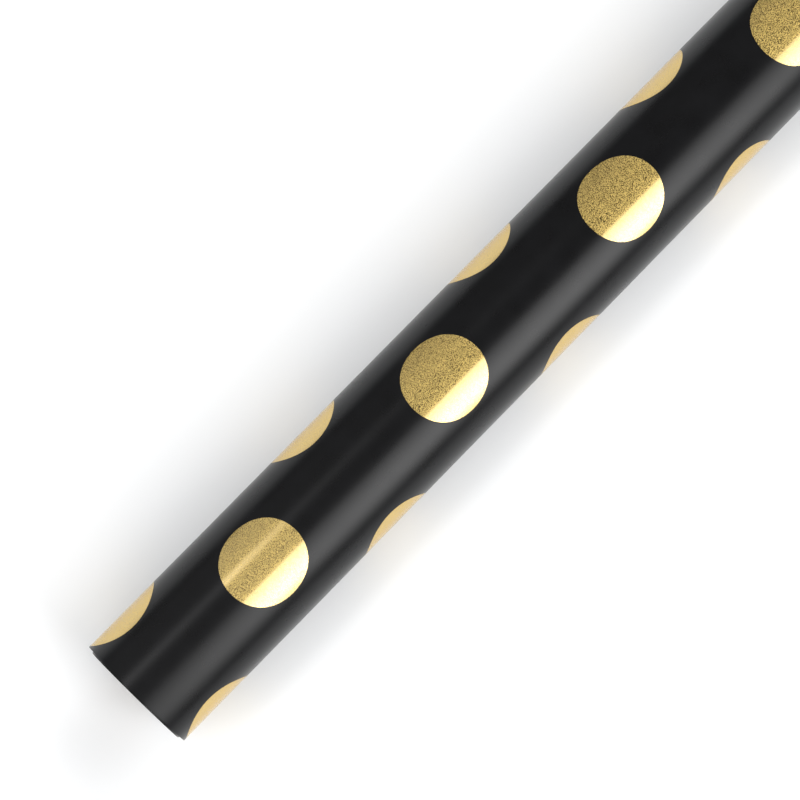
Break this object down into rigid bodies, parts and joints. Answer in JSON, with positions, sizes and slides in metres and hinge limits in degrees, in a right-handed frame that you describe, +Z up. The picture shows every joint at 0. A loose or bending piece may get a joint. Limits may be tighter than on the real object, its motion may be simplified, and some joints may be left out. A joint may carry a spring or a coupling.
{
  "type": "wrapping paper roll",
  "caption": "Roll of dotted foil gift wrapping paper on a spiral-wound cardboard core, with a loose end that unrolls.",
  "frame": {"origin": "on the core's axis, level with the sheet's edges at the near end of the roll", "axes": "+X along the roll, +Z up, with the roll lying on its side; the loose end is on the +Y side"},
  "size_m": [0.7626, 0.0392, 0.0392],
  "materials": {
    "gift_paper": "satin black coated gift paper",
    "gold_foil": "gold hot-stamped foil",
    "kraft_board": "spiral-wound kraft board",
    "adhesive": "dried adhesive"
  },
  "bodies": {
    "roll": {"core_inner_ply": "kraft_board", "core_outer_ply": "kraft_board", "start_glue_strip": "adhesive", "inner_wraps": "gift_paper", "outer_wraps": "gift_paper", "outer_turn": "gift_paper", "foil_row_top": "gold_foil", "foil_row_side": "gold_foil", "foil_row_under": "gold_foil", "foil_row_covered": "gold_foil"},
    "tail_1": {"tail_strip_1": "gift_paper", "tail_foil_1": "gold_foil"},
    "tail_2": {"tail_strip_2": "gift_paper", "tail_foil_2": "gold_foil"},
    "tail_3": {"tail_strip_3": "gift_paper", "tail_foil_3": "gold_foil"},
    "tail_4": {"tail_strip_4": "gift_paper", "tail_foil_4": "gold_foil"},
    "tail_5": {"tail_strip_5": "gift_paper", "tail_foil_5": "gold_foil"}
  },
  "joints": [
    {"name": "unroll_1", "type": "hinge", "parent": "roll", "child": "tail_1", "pos_m": [0.381, 0.01357, 0.01415], "axis": [1, 0, 0], "range_deg": [0, 18.04], "stiffness_Nm_per_rad": 0.003, "springref_deg": -11.46},
    {"name": "unroll_2", "type": "hinge", "parent": "tail_1", "child": "tail_2", "pos_m": [0.381, 0.01728, 0.00925], "axis": [1, 0, 0], "range_deg": [0, 18.04], "stiffness_Nm_per_rad": 0.003, "springref_deg": -11.46},
    {"name": "unroll_3", "type": "hinge", "parent": "tail_2", "child": "tail_3", "pos_m": [0.381, 0.0193, 0.00344], "axis": [1, 0, 0], "range_deg": [0, 18.04], "stiffness_Nm_per_rad": 0.003, "springref_deg": -11.46},
    {"name": "unroll_4", "type": "hinge", "parent": "tail_3", "child": "tail_4", "pos_m": [0.381, 0.01941, -0.0027], "axis": [1, 0, 0], "range_deg": [0, 18.04], "stiffness_Nm_per_rad": 0.003, "springref_deg": -11.46},
    {"name": "unroll_5", "type": "hinge", "parent": "tail_4", "child": "tail_5", "pos_m": [0.381, 0.01762, -0.00858], "axis": [1, 0, 0], "range_deg": [0, 18.04], "stiffness_Nm_per_rad": 0.003, "springref_deg": -11.46}
  ],
  "couplings": [
    {"joint": "unroll_2", "follows": "unroll_1", "ratio": 1},
    {"joint": "unroll_3", "follows": "unroll_1", "ratio": 1},
    {"joint": "unroll_4", "follows": "unroll_1", "ratio": 1},
    {"joint": "unroll_5", "follows": "unroll_1", "ratio": 1}
  ]
}
